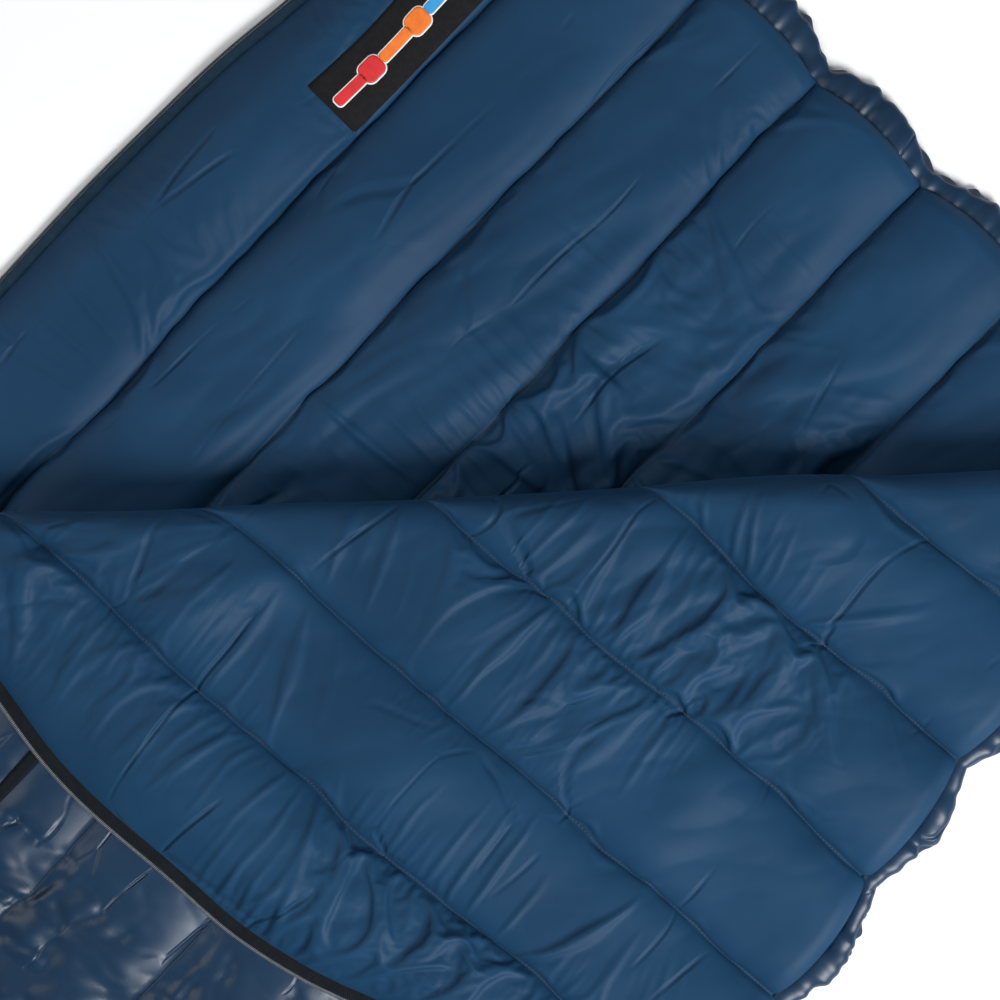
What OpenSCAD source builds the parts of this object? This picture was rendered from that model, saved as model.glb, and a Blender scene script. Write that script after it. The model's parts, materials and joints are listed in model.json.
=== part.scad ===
// Rectangular sleeping bag, lying flat on its back leaf, with the zip undone and the mouth corner
// of the front leaf turned back along a diagonal fold.
// +Y runs from the foot to the mouth, -X is the zip side, +X is the closed spine, +Z is up.
// The origin lies on the floor under the middle of the back leaf.

/* [Bag] */
// Width of one leaf, from the zip edge to the spine
bag_w = 800; // [700:10:950]
// Length of one leaf, from the foot to the mouth
bag_l = 1900; // [1700:10:2100]
// Loft of one leaf at the crown of a channel
loft = 28; // [22:1:36]
// Thickness of one leaf at a quilting seam
seam_t = 6; // [5:0.5:8]
// Angle between the diagonal fold and the length of the bag
fold_angle = 43; // [41:1:46]
// Space left between two leaves that lie on each other
layer_gap = 1; // [1:0.5:3]

/* [Fabric] */
// Thickness of the outer shell and of the lining
cloth_t = 0.8; // [0.5:0.1:1]
// Width of the rolled shell hem along the mouth
hem_w = 22; // [16:1:30]
// Height of that rolled hem
hem_h = 12; // [10:1:14]

/* [Zip] */
// Width of zip tape that shows beyond the leaf
tape_w = 12; // [8:1:16]
// Width of one half of the coil chain
coil_w = 3.6; // [3:0.1:4]
// Thickness of the coil
coil_t = 2.8; // [2.2:0.1:3]
// Height of the tape above the outer shell
zip_z = 4; // [4:0.1:4.5]
// Length of the slider
slider_l = 14; // [11:1:18]
// Length of the pull tab, from its pivot
pull_l = 30; // [20:1:32]

/* [Label] */
// Width of the sewn label across the bag
label_w = 53; // [40:1:60]
// Length of the sewn label along the bag
label_l = 170; // [100:5:200]

/* [Hidden] */
CHANNELS = 7;

$fn = 96;
gap = 0.15;
far = 4000;

// Leaf outline
x_zip = -bag_w / 2;
x_spine = bag_w / 2;
y_foot = -bag_l / 2;
y_mouth = bag_l / 2;
y_lining = y_mouth - hem_w;
channel_w = bag_w / CHANNELS;

// Round crown of a channel, from seam to seam
dome_rise = loft - seam_t;
dome_r = (channel_w * channel_w / 4 + dome_rise * dome_rise) / (2 * dome_rise);
dome_z = loft - dome_r;
seam_lap = 0.05;

// The three layers of leaves, measured from the floor
z_fold = 2 * (loft + layer_gap);

// Diagonal fold, through the corner of the mouth and the spine
fold_corner = [x_spine, y_mouth, 0];
fold_normal = [-cos(fold_angle), sin(fold_angle), 0];
fold_clear = 0.5;

// Zip
x_tape = x_zip - tape_w;
x_coil = x_tape - coil_w;
tape_t = 0.6;
stop_l = 6;
side_tape_top = y_mouth - 8;
side_coil_top = side_tape_top - stop_l;
foot_tape_end = x_spine - 8;
end_piece = [10, 6, 4.4];

// Slider, with its pull pivot on two lugs
slider_x = x_coil - 1.6;
slider_y = y_foot + 20;
slider_half_w = 6.8;
plate_t = 1.2;
slider_h = 6.8;
flange_w = 1.2;
flange_h = 1.4;
post = [2, 5];
lug_t = 1;
lug_gap = 3;
pivot_r = 0.9;
pivot_z = zip_z + slider_h / 2 + 2.5;
eye_r = 2;
pull_w = 8;
pull_t = 1.6;
pull_neck = 3.4;
cord_hole_r = 1.6;

// Sewn label, beside the first seam
label_x = x_zip + channel_w - label_w - 7;
label_y = 638;
label_t = 0.6;

// ---- Shapes shared by the three leaves. Each is drawn shell side down, with the shell on z = 0.

// Extrudes an outline of x and z along Y, from y0 to y1.
module along_y(y0, y1) {
    translate([0, y1, 0])
        rotate([90, 0, 0])
            linear_extrude(y1 - y0)
                children();
}

// Extrudes an outline of y and z along X, from x0 to x1.
module along_x(x0, x1) {
    translate([x0, 0, 0])
        rotate([90, 0, 90])
            linear_extrude(x1 - x0)
                children();
}

// Crown outline of channel k, shrunk by the given inset from the outside of the lining. It laps a
// little over both seams, so that the lining of all channels is one sheet.
module crown(k, inset) {
    left = k == 1 ? 0 : seam_lap;
    right = k == CHANNELS ? 0 : seam_lap;
    intersection() {
        translate([x_zip + (k - 0.5) * channel_w, dome_z])
            circle(dome_r - inset);
        translate([x_zip + (k - 1) * channel_w - left, 0])
            square([channel_w + left + right, loft]);
    }
}

module leaf_fill(k) {
    left = x_zip + (k - 1) * channel_w + (k == 1 ? cloth_t + gap : gap);
    right = x_zip + k * channel_w - (k == CHANNELS ? cloth_t + gap : gap);
    along_y(y_foot + cloth_t + gap, y_lining - gap)
        intersection() {
            crown(k, cloth_t + gap);
            translate([left, cloth_t + gap])
                square([right - left, loft]);
        }
}

module leaf_lining() {
    along_y(y_foot, y_lining)
        difference() {
            for (k = [1:CHANNELS])
                crown(k, 0);
            for (k = [1:CHANNELS])
                crown(k, cloth_t);
            translate([x_zip - 1, -1])
                square([bag_w + 2, seam_t / 2 + 1]);
        }
}

// Flat outer cloth with a lip on the zip side, on the spine side and along the foot.
module leaf_shell() {
    lip_h = seam_t - 2 * cloth_t;
    translate([x_zip, y_foot, 0])
        cube([bag_w, y_lining - y_foot - gap, cloth_t]);
    for (x = [x_zip, x_spine - cloth_t])
        translate([x, y_foot, 0])
            cube([cloth_t, y_lining - y_foot - gap, lip_h]);
    translate([x_zip, y_foot, 0])
        cube([bag_w, cloth_t, lip_h]);
}

// Cloth rolled over the mouth edge.
module leaf_hem() {
    round_r = hem_h / 2;
    along_x(x_zip, x_spine - gap) {
        translate([y_lining + gap, 0])
            square([hem_w - round_r - gap, hem_h]);
        translate([y_mouth - round_r, round_r])
            circle(round_r);
    }
}

module leaf_tape_side() {
    translate([x_tape, y_foot, zip_z - tape_t / 2])
        cube([tape_w - gap, side_tape_top - y_foot, tape_t]);
}

module leaf_coil_side() {
    translate([x_coil, y_foot, zip_z - coil_t / 2])
        cube([coil_w - gap, side_coil_top - y_foot, coil_t]);
}

module leaf_tape_foot() {
    translate([x_tape, y_foot - tape_w, zip_z - tape_t / 2])
        cube([foot_tape_end - x_tape, tape_w - gap, tape_t]);
}

module leaf_coil_foot() {
    translate([x_coil, y_foot - tape_w - coil_w, zip_z - coil_t / 2])
        cube([foot_tape_end - end_piece.x - gap - x_coil, coil_w - gap, coil_t]);
}

module leaf_top_stop() {
    translate([x_coil - 0.6, side_coil_top + gap, zip_z - coil_t / 2 - 0.3])
        cube([coil_w + 0.4, stop_l - 2 * gap, coil_t + 0.6]);
}

// Where the two halves of the zip are joined before the slider runs over them.
module foot_end_piece(size) {
    translate([foot_tape_end - size.x, y_foot - tape_w - size.y, zip_z - size.z / 2])
        cube([size.x, size.y - gap, size.z]);
}

// ---- Placing the leaves

// Front leaf: the same leaf with its shell on top.
module place_front() {
    translate([0, 0, z_fold - gap])
        mirror([0, 0, 1])
            children();
}

// Half-space prism on the mouth side of the fold (side = 1) or on its foot side (side = -1).
module beside_fold(side) {
    translate(fold_corner)
        rotate([0, 0, 90 - fold_angle])
            translate([-far / 2, side > 0 ? fold_clear : -far - fold_clear, -far / 2])
                cube([far, far, far]);
}

module front_part() {
    intersection() {
        place_front()
            children();
        beside_fold(-1);
    }
}

// Turned corner: what lies past the fold, mirrored across it, shell side down on the front leaf.
module flap_part() {
    translate([0, 0, z_fold + gap])
        translate(fold_corner)
            mirror(fold_normal)
                translate(-fold_corner)
                    intersection() {
                        children();
                        beside_fold(1);
                    }
}

// ---- Back leaf

module back_shell() {
    color("midnightblue")
        leaf_shell();
}

module back_lining() {
    color("darkslateblue")
        translate([0, 0, -gap])
            leaf_lining();
}

module back_mouth_hem() {
    color("midnightblue")
        leaf_hem();
}

module back_fill(k) {
    color("whitesmoke")
        translate([0, 0, -gap])
            leaf_fill(k);
}

module back_zip_tape_side() {
    color("darkslategray")
        leaf_tape_side();
}

module back_zip_tape_foot() {
    color("darkslategray")
        difference() {
            leaf_tape_foot();
            translate([x_tape - 1, y_foot - gap, 0])
                cube([tape_w, tape_w, loft]);
        }
}

module back_zip_coil_side() {
    color("silver")
        leaf_coil_side();
}

module back_zip_coil_foot() {
    color("silver")
        leaf_coil_foot();
}

module back_top_stop() {
    color("silver")
        leaf_top_stop();
}

module retainer_box() {
    color("dimgray")
        foot_end_piece(end_piece);
}

module temperature_label() {
    color("black")
        along_y(label_y, label_y + label_l)
            intersection() {
                difference() {
                    translate([x_zip + channel_w / 2, dome_z])
                        circle(dome_r + gap + label_t);
                    translate([x_zip + channel_w / 2, dome_z])
                        circle(dome_r + gap);
                }
                translate([label_x, 0])
                    square([label_w, 2 * loft]);
            }
}

// ---- Front leaf

module front_shell() {
    color("midnightblue")
        front_part()
            leaf_shell();
}

module front_lining() {
    color("darkslateblue")
        front_part()
            translate([0, 0, -gap])
                leaf_lining();
}

module front_fill(k) {
    color("whitesmoke")
        front_part()
            translate([0, 0, -gap])
                leaf_fill(k);
}

module front_zip_tape_side() {
    color("darkslategray")
        front_part()
            leaf_tape_side();
}

module front_zip_tape_foot() {
    color("darkslategray")
        front_part()
            leaf_tape_foot();
}

module front_zip_coil_side() {
    color("silver")
        front_part()
            leaf_coil_side();
}

module front_zip_coil_foot() {
    color("silver")
        front_part()
            leaf_coil_foot();
}

module insertion_pin() {
    color("dimgray")
        front_part()
            foot_end_piece([end_piece.x, coil_w, coil_t]);
}

// ---- Turned-back corner

module flap_shell() {
    color("midnightblue")
        flap_part()
            leaf_shell();
}

module flap_lining() {
    color("darkslateblue")
        flap_part()
            translate([0, 0, -gap])
                leaf_lining();
}

module flap_mouth_hem() {
    color("midnightblue")
        flap_part()
            leaf_hem();
}

module flap_fill(k) {
    color("whitesmoke")
        flap_part()
            translate([0, 0, -gap])
                leaf_fill(k);
}

module flap_zip_tape() {
    color("black")
        flap_part()
            leaf_tape_side();
}

module flap_zip_coil() {
    color("silver")
        flap_part()
            leaf_coil_side();
}

module flap_top_stop() {
    color("silver")
        flap_part()
            leaf_top_stop();
}

// ---- Slider and pull, riding on the side coil of the back leaf

module slider_body() {
    top = zip_z + slider_h / 2;
    bottom = zip_z - slider_h / 2;
    color("darkgray")
        translate([slider_x, slider_y, 0])
            union() {
                for (z = [bottom, top - plate_t])
                    translate([-slider_half_w, -slider_l / 2, z])
                        cube([2 * slider_half_w, slider_l, plate_t]);
                for (x = [-slider_half_w, slider_half_w - flange_w])
                    for (z = [bottom + plate_t, top - plate_t - flange_h])
                        translate([x, -slider_l / 2, z])
                            cube([flange_w, slider_l, flange_h]);
                translate([-post.x / 2, slider_l / 2 - post.y, bottom])
                    cube([post.x, post.y, slider_h]);
                for (x = [-lug_gap / 2 - lug_t, lug_gap / 2])
                    translate([x, 0, 0]) {
                        translate([0, -eye_r, top - plate_t])
                            cube([lug_t, 2 * eye_r, pivot_z - top + plate_t]);
                        translate([0, 0, pivot_z])
                            rotate([0, 90, 0])
                                cylinder(r = eye_r, h = lug_t);
                    }
                translate([-lug_gap / 2, 0, pivot_z])
                    rotate([0, 90, 0])
                        cylinder(r = pivot_r, h = lug_gap);
            }
}

module pull_tab() {
    eye_w = lug_gap - 0.6;
    color("darkgray")
        translate([slider_x, slider_y, pivot_z])
            difference() {
                union() {
                    translate([-eye_w / 2, 0, 0])
                        rotate([0, 90, 0])
                            cylinder(r = eye_r, h = eye_w);
                    translate([-eye_w / 2, 0, -pull_t / 2])
                        cube([eye_w, pull_neck + 1, pull_t]);
                    translate([-pull_w / 2, pull_neck, -pull_t / 2])
                        cube([pull_w, pull_l - pull_neck - pull_w / 2, pull_t]);
                    translate([0, pull_l - pull_w / 2, -pull_t / 2])
                        cylinder(r = pull_w / 2, h = pull_t);
                }
                translate([-eye_w, 0, 0])
                    rotate([0, 90, 0])
                        cylinder(r = pivot_r + 0.1, h = 2 * eye_w);
                translate([0, pull_l - pull_w / 2, -pull_t])
                    cylinder(r = cord_hole_r, h = 2 * pull_t);
            }
}

back_shell();
back_lining();
back_mouth_hem();
for (k = [1:CHANNELS])
    back_fill(k);
back_zip_tape_side();
back_zip_tape_foot();
back_zip_coil_side();
back_zip_coil_foot();
back_top_stop();
retainer_box();
temperature_label();
front_shell();
front_lining();
for (k = [1:CHANNELS])
    front_fill(k);
front_zip_tape_side();
front_zip_tape_foot();
front_zip_coil_side();
front_zip_coil_foot();
insertion_pin();
flap_shell();
flap_lining();
flap_mouth_hem();
for (k = [1:CHANNELS])
    flap_fill(k);
flap_zip_tape();
flap_zip_coil();
flap_top_stop();
slider_body();
pull_tab();
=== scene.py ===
"""Rectangular sleeping bag: quilted cloth, zip, label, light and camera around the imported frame.

Each leaf is worked out lying shell side down, as part.scad draws it: x across from the zip edge, y
from the foot to the mouth, z up from the shell. place_back, place_front and place_flap then put it
where it lies.
"""
import json
import math

import bmesh
import bpy
import numpy as np
from mathutils import Matrix, Vector


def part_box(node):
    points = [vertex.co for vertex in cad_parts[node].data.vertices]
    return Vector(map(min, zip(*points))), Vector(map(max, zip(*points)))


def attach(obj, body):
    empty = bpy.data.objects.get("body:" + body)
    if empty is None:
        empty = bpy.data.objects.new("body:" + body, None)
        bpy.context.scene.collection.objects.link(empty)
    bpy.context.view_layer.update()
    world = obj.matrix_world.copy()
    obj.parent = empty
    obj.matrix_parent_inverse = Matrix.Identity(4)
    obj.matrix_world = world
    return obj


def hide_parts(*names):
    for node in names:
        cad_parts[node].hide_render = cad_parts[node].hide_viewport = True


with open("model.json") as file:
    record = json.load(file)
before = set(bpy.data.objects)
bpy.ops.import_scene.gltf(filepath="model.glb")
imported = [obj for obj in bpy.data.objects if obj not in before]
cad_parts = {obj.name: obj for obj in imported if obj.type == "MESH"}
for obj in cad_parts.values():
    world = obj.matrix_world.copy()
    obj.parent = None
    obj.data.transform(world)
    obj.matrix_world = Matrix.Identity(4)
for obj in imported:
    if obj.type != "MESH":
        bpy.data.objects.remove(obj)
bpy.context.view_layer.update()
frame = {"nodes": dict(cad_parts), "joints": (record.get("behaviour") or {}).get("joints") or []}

# ---- Sizes, in metres, from the frame
(X_ZIP, Y_FOOT, _), (X_SPINE, _, _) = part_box("back_shell")
Y_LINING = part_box("back_shell")[1][1]
Y_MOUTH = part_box("back_mouth_hem")[1][1]
HEM_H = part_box("back_mouth_hem")[1][2]
JOINT = {joint["name"]: joint for joint in frame["joints"]}
FOLD_POINT = np.array(JOINT["corner_unfold"]["pos_m"])
FOLD_ALONG = -np.array(JOINT["corner_unfold"]["axis"])
FOLD_ACROSS = np.array([-FOLD_ALONG[1], FOLD_ALONG[0], 0.0])
H_LEAF = JOINT["front_open"]["pos_m"][2]
CHANNELS = 7
CHANNEL_W = (X_SPINE - X_ZIP) / CHANNELS
COIL_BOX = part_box("back_zip_coil_side")
FOOT_COIL_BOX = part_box("back_zip_coil_foot")
TAPE_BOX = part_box("back_zip_tape_side")
FOOT_TAPE_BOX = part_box("back_zip_tape_foot")
LABEL_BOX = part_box("temperature_label")

# Heights above the shell side of a leaf that lies flat
CROWN_Z = 0.0235
SEAM_Z = 0.0120
LINING_EDGE_Z = 0.0052
SHELL_EDGE_Z = 0.0028
MOUTH_LINING_Z = 0.0085
SHELL_CROWN_Z = 0.0012
SHELL_SEAM_RISE = 0.0085
LOFT_VARIATION = 0.0036
SEAM_GROOVE = 0.0030
SEAM_GROOVE_W = 0.0035

# How far in from an edge of the leaf the cloth reaches its full height
EDGE_RISE_W = 0.035
LINING_MOUTH_RISE_W = 0.016
SHELL_MOUTH_RISE_W = 0.02
EDGE_OVER_TAPE = 0.003

# The dark strip on the outside of the front leaf: painted shade of a crease at a shell seam
SEAM_SHADE_X = -0.123
SEAM_SHADE_W = 0.0095

# Rounding of a leaf where it bends about a fold
ROLL_W = 0.024
ROLL_ARC = ROLL_W * math.pi / 2
ROLL_DECAY = 0.25

# Height over the floor past which the turned-back corner's soft folds are eased off
SOFT_TOP = 0.0870
SOFT_RISE = 0.0070


# ---- Noise and shared fields

def noise(seed, cell):
    """A smooth random field of unit spread, whose bumps are about cell metres apart."""
    span = int(3.4 / cell) + 8
    table = np.random.default_rng(seed).standard_normal((span, span)) * 2.09

    def weights(t):
        return ((1 - t) ** 3 / 6, (3 * t**3 - 6 * t**2 + 4) / 6,
                (-3 * t**3 + 3 * t**2 + 3 * t + 1) / 6, t**3 / 6)

    def at(x, y):
        u = np.asarray(x) / cell + span / 2
        v = np.asarray(y) / cell + span / 2
        column, row = u.astype(int), v.astype(int)
        across, along = weights(u - column), weights(v - row)
        total = 0.0
        for i in range(4):
            for j in range(4):
                total = total + along[i] * across[j] * table[row + i - 1, column + j - 1]
        return total

    return at


def quarter(distance, width):
    """Rises from 0 at an edge to 1 at width, as a quarter ellipse."""
    t = np.clip(distance / width, 0, 1)
    return np.sqrt(np.clip(1 - (1 - t) ** 2, 0, 1))


def bump(distance, reach):
    """1 at distance 0, falling to nothing over a few times reach."""
    return np.exp(-((distance / reach) ** 2))


def crown_share(x):
    """0 at a seam and 1 at the crown of a channel; the last crown runs on to the spine, which has no seam."""
    u = (x - X_ZIP) / CHANNEL_W
    return np.where(u > CHANNELS - 0.5, 1.0, np.abs(u - np.round(u)) * 2)


LOFT_NOISE = noise(5, 0.085)


def lining_base(x, y):
    """Height of the lining before its wrinkles: what the filling holds up."""
    share = crown_share(x)
    loft = CROWN_Z - SEAM_Z + LOFT_VARIATION * LOFT_NOISE(x, y) * np.sin(share * math.pi / 2)
    groove = SEAM_GROOVE * np.exp(-share * CHANNEL_W / 2 / SEAM_GROOVE_W)
    dome = SEAM_Z + loft * (1 - (1 - share) ** 3.4) - groove
    z = LINING_EDGE_Z + (dome - LINING_EDGE_Z) * quarter(x - X_ZIP, EDGE_RISE_W)
    z = LINING_EDGE_Z + (z - LINING_EDGE_Z) * quarter(y - Y_FOOT, EDGE_RISE_W)
    return MOUTH_LINING_Z + (z - MOUTH_LINING_Z) * quarter(Y_LINING - y, LINING_MOUTH_RISE_W)


def back_base(x, y):
    """The lining of the back leaf, which sinks where the folded corner lies over it."""
    near = (x - FOLD_POINT[0]) * FOLD_ACROSS[0] + (y - FOLD_POINT[1]) * FOLD_ACROSS[1]
    middle = (x - FOLD_POINT[0]) * FOLD_ALONG[0] + (y - FOLD_POINT[1]) * FOLD_ALONG[1]
    sink = bump(near - 0.005, 0.055) * bump(middle + 0.56, 0.30)
    return lining_base(x, y) * (1 - 0.42 * sink)


def shell_base(x, y):
    """Height of the shell before its wrinkles; its crowns bulge down, away from the lining."""
    dome = SHELL_CROWN_Z + SHELL_SEAM_RISE * (1 - crown_share(x)) ** 2.3
    z = SHELL_EDGE_Z + (dome - SHELL_EDGE_Z) * quarter(x - X_ZIP, EDGE_RISE_W)
    z = SHELL_EDGE_Z + (z - SHELL_EDGE_Z) * quarter(y - Y_FOOT, EDGE_RISE_W)
    return z * quarter(Y_LINING - y + 0.004, SHELL_MOUTH_RISE_W)


def crinkle(seed, degrees, stretch, layers):
    """Sharp creases with smooth cloth between them: where each layer's noise changes sign, it folds."""
    c, s = math.cos(math.radians(degrees)), math.sin(math.radians(degrees))
    fields = [(noise(seed + k, cell), height) for k, (cell, height) in enumerate(layers)]

    def height_at(x, y):
        along, across = (x * c + y * s) / stretch, y * c - x * s
        total = 0.0
        for field, height in fields:
            total = total + height * np.abs(field(along, across))
        return total

    return height_at


# ---- Cloth: a sheet larger than what it is sewn to, relaxed on top of the filling

def pairs(shape, down, across, stiffness, lengths):
    """Slices that join each grid point to the one so many rows down and columns across.

    No point is twice in one group, so that a whole group can be moved at once.
    """
    rows, columns = shape
    spread = 2 * max(abs(down), abs(across))
    groups = []
    for start in range(spread):
        if down:
            a_rows, b_rows = slice(start, rows - down, spread), slice(start + down, rows, spread)
            a_cols = slice(max(0, -across), columns - max(0, across))
            b_cols = slice(max(0, across), columns - max(0, -across))
            rest = lengths[start::spread]
        else:
            a_rows = b_rows = slice(None)
            a_cols, b_cols = slice(start, columns - across, spread), slice(start + across, columns, spread)
            rest = lengths[:, start::spread]
        groups.append(((a_rows, a_cols), (b_rows, b_cols), rest, stiffness))
    return groups


def relax(points, fixed, rest_x, rest_y, floor, sweeps, bend):
    """Lets a pinned sheet of larger cloth buckle over the filling that holds it up at floor."""
    free = np.where(fixed, 0.0, 1.0)
    diagonal = np.hypot(rest_x[:-1] + rest_x[1:], rest_y[:, :-1] + rest_y[:, 1:]) / 2
    links = pairs(fixed.shape, 0, 1, 1.0, rest_x)
    links += pairs(fixed.shape, 1, 0, 1.0, rest_y)
    links += pairs(fixed.shape, 1, 1, 0.6, diagonal)
    links += pairs(fixed.shape, 1, -1, 0.6, diagonal)
    links += pairs(fixed.shape, 0, 2, bend, rest_x[:, :-1] + rest_x[:, 1:])
    links += pairs(fixed.shape, 2, 0, bend, rest_y[:-1] + rest_y[1:])
    now, before, pinned = points.copy(), points.copy(), points[fixed]
    for _ in range(sweeps):
        moved = now + (now - before) * 0.9
        before, now = now, moved
        now[fixed] = pinned
        now[..., 2] -= 0.0006 * (now[..., 2] - floor) * free
        for a, b, rest, stiffness in links:
            gap = now[b] - now[a]
            length = np.sqrt((gap * gap).sum(-1)) + 1e-9
            share = stiffness * (length - rest) / (length * (free[a] + free[b] + 1e-6))
            push = share[..., None] * gap
            now[a] += free[a][..., None] * push
            now[b] -= free[b][..., None] * push
        now[..., 2] = np.maximum(now[..., 2], floor)
    now[fixed] = pinned
    return now


def resample(grid, rows, columns):
    """Catmull-Rom resampling of a grid of points."""
    for axis, count in ((0, rows), (1, columns)):
        last = grid.shape[axis] - 1
        place = np.linspace(0, last, count)
        cell = np.clip(place.astype(int), 0, last - 1)
        shape = [1, 1, 1]
        shape[axis] = -1
        t = (place - cell).reshape(shape)
        a, b, c, d = (np.take(grid, np.clip(cell + k, 0, last), axis) for k in (-1, 0, 1, 2))
        grid = b + 0.5 * t * (c - a + t * (2 * a - 5 * b + 4 * c - d + t * (3 * (b - c) + d - a)))
    return grid


def quilted(seed, base, outward, slack, crumples, creases, calm, fine, split, held=None, pressed=None):
    """The lining or the shell of one leaf: a coarse grid of its foot half and a fine grid of its mouth half.

    outward is 1 for the lining and -1 for the shell. slack is how much larger the cloth is than what it
    is sewn to, across and along. Each crumple is a place, its reach and its extra slack. creases are added
    to the result, calm everywhere and in full at the crumples. fine is the mesh cells a channel has past
    split, where the fine grid begins. held marks cloth that stays flat, and pressed limits its relief.
    """
    slack_field = noise(seed, 0.11)
    side_field = noise(seed + 1, 0.09)
    start_field = noise(seed + 2, 0.016)
    small_field = noise(seed + 3, 0.007)
    wobble = noise(seed + 4, 0.05)
    jitter = noise(seed + 5, 0.012)

    def solve(x_cells, y_low, y_high, grid, sweeps, bend):
        step = CHANNEL_W / x_cells
        columns = CHANNELS * x_cells + 1
        rows = int(round((y_high - y_low) / step)) + 1
        x, y = np.meshgrid(np.linspace(X_ZIP, X_SPINE, columns), np.linspace(y_low, y_high, rows))
        floor = outward * base(x, y)
        place = np.arange(columns)[None, :] % x_cells == 0
        seam = np.broadcast_to(place & (np.arange(columns) > 0) & (np.arange(columns) < columns - 1), x.shape)
        edge = np.zeros(x.shape, bool)
        edge[[0, -1], :] = True
        edge[:, [0, -1]] = True
        ease = bump(np.minimum(y - Y_FOOT, Y_LINING - y), 0.05)
        seam_x = x + (0.0022 * wobble(x * 3, y) + 0.0007 * jitter(x, y)) * (1 - ease)
        amount = np.clip(1 + 0.9 * slack_field(x, y), 0.05, None)
        for cx, cy, reach, extra in crumples:
            amount = amount + extra * bump(np.hypot(x - cx, y - cy), reach)
        gather = np.clip(1 + 0.7 * side_field(x, y), 0.1, None)
        slope_x = np.hypot(1, np.gradient(floor, x[0], axis=1))
        slope_y = np.hypot(1, np.gradient(floor, y[:, 0], axis=0))
        long_x = slope_x * (1 + slack[0] * amount)
        long_y = slope_y * (1 + slack[1] * amount * gather)
        rest_x = step * (long_x[:, 1:] + long_x[:, :-1]) / 2
        rest_y = (y[1, 0] - y[0, 0]) * (long_y[1:] + long_y[:-1]) / 2
        if grid is None:
            points = np.stack([x, y, floor + 0.0016 * np.abs(start_field(x, y))], -1)
        else:
            points = resample(grid, rows, columns)
            points[..., 2] += 0.0002 * np.abs(small_field(x, y))
        points[..., 2] = np.maximum(points[..., 2], floor)
        keep_low = y_low > Y_FOOT
        fixed = seam | edge
        if held is not None:
            fixed = fixed | held(x, y)
            points[held(x, y)] = np.stack([x, y, floor], -1)[held(x, y)]
        first_row = points[0].copy()
        points[fixed] = np.stack([x, y, floor], -1)[fixed]
        points[seam, 0] = seam_x[seam]
        points[seam, 2] += 0.0006 * jitter(x, y)[seam]
        if keep_low:
            points[0] = first_row
        return relax(points, fixed, rest_x, rest_y, floor, sweeps, bend)

    cut = (split - Y_FOOT) / (Y_LINING - Y_FOOT)
    whole = solve(12, Y_FOOT, Y_LINING, None, 300, 0.6)
    whole = solve(24, Y_FOOT, Y_LINING, whole, 120, 0.3)
    row = int(round(cut * (whole.shape[0] - 1)))
    y_cut = Y_FOOT + (Y_LINING - Y_FOOT) * row / (whole.shape[0] - 1)
    head = solve(fine, y_cut, Y_LINING, whole[row:], 110, 0.08)
    foot = whole[: row + 1]
    for part in (foot, head):
        x, y = part[..., 0], part[..., 1]
        amount = calm + 0 * x
        for cx, cy, reach, extra in crumples:
            amount = amount + bump(np.hypot(x - cx, y - cy), reach)
        edge = np.minimum(np.minimum(x - X_ZIP, X_SPINE - x), np.minimum(y - Y_FOOT, Y_LINING - y))
        amount = amount * np.clip(edge / 0.03, 0, 1)
        if held is not None:
            amount = amount * ~held(x, y)
        part[..., 2] += amount * creases(x, y)
        if pressed is not None:
            rest, most = outward * base(x, y), pressed(x, y)
            part[..., 2] = rest + most * np.tanh((part[..., 2] - rest) / most)
        part[..., 2] *= outward
        part[..., 0] -= EDGE_OVER_TAPE * bump(part[..., 0] - X_ZIP, 0.02)
    return foot, head


# ---- Shape of a leaf's edges, and the places of the leaves

def edge_waves(seed):
    """How the edges of a leaf wander, and lift, in place of lying ruler straight."""
    side, side_z, end = (noise(seed + k, cell) for k, cell in enumerate((0.12, 0.05, 0.10)))

    def move(points):
        x, y, z = points[:, 0], points[:, 1], points[:, 2]
        from_zip, from_mouth = np.clip(x - X_ZIP, 0, None), np.clip(Y_LINING - y, 0, None)
        share = np.abs(np.sin(math.pi * (x - X_ZIP) / CHANNEL_W))
        out = points.copy()
        out[:, 0] += 0.0022 * side(x * 0, y) * bump(from_zip, 0.09)
        out[:, 1] += (0.006 * (share - 0.6) + 0.0016 * end(x, y * 0)) * bump(from_mouth, 0.06)
        out[:, 2] += 0.0006 * side_z(x * 0, y) * bump(from_zip, 0.012)
        return out

    return move


BACK_WAVES = edge_waves(400)
TOP_WAVES = edge_waves(500)
RIDGE = noise(71, 0.07)


def rolled(points, distance, plane, toward):
    """Rounds a leaf off where it bends about a fold: toward is the plan direction away from the fold."""
    angle = np.clip(distance / ROLL_ARC, 0, 1) * math.pi / 2
    inside = ROLL_W * (1 - np.cos(angle))
    beyond = distance - (ROLL_ARC - ROLL_W) * bump(distance - ROLL_ARC, ROLL_DECAY)
    plan = np.where(distance < ROLL_ARC, inside, beyond)
    out = points + (plan - distance)[:, None] * toward
    out[:, 2] = plane + (points[:, 2] - plane) * np.sin(angle)
    return out


def fold_distance(points):
    """How far points lie past the fold line, on the side of the mouth."""
    return (points - FOLD_POINT) @ FOLD_ACROSS


def place_back(points):
    points = BACK_WAVES(points)
    bulge = -0.005 * bump(points[:, 1] - 0.46, 0.12) + 0.010 * bump(points[:, 1] - 0.70, 0.07)
    points[:, 0] += bulge * bump(points[:, 0] - X_ZIP, 0.07)
    return rolled(points, X_SPINE - points[:, 0], H_LEAF, np.array([-1.0, 0, 0]))


def ridge_waves(points):
    """The fold's edge bulges a little, the same for the two pieces that meet there, and never falls short."""
    past = fold_distance(points)
    along = (points - FOLD_POINT) @ FOLD_ALONG
    shift = np.clip(0.0024 + 0.0028 * RIDGE(along, 0 * along), 0, None) * bump(past, 0.05)
    return points + shift[:, None] * FOLD_ACROSS


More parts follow.
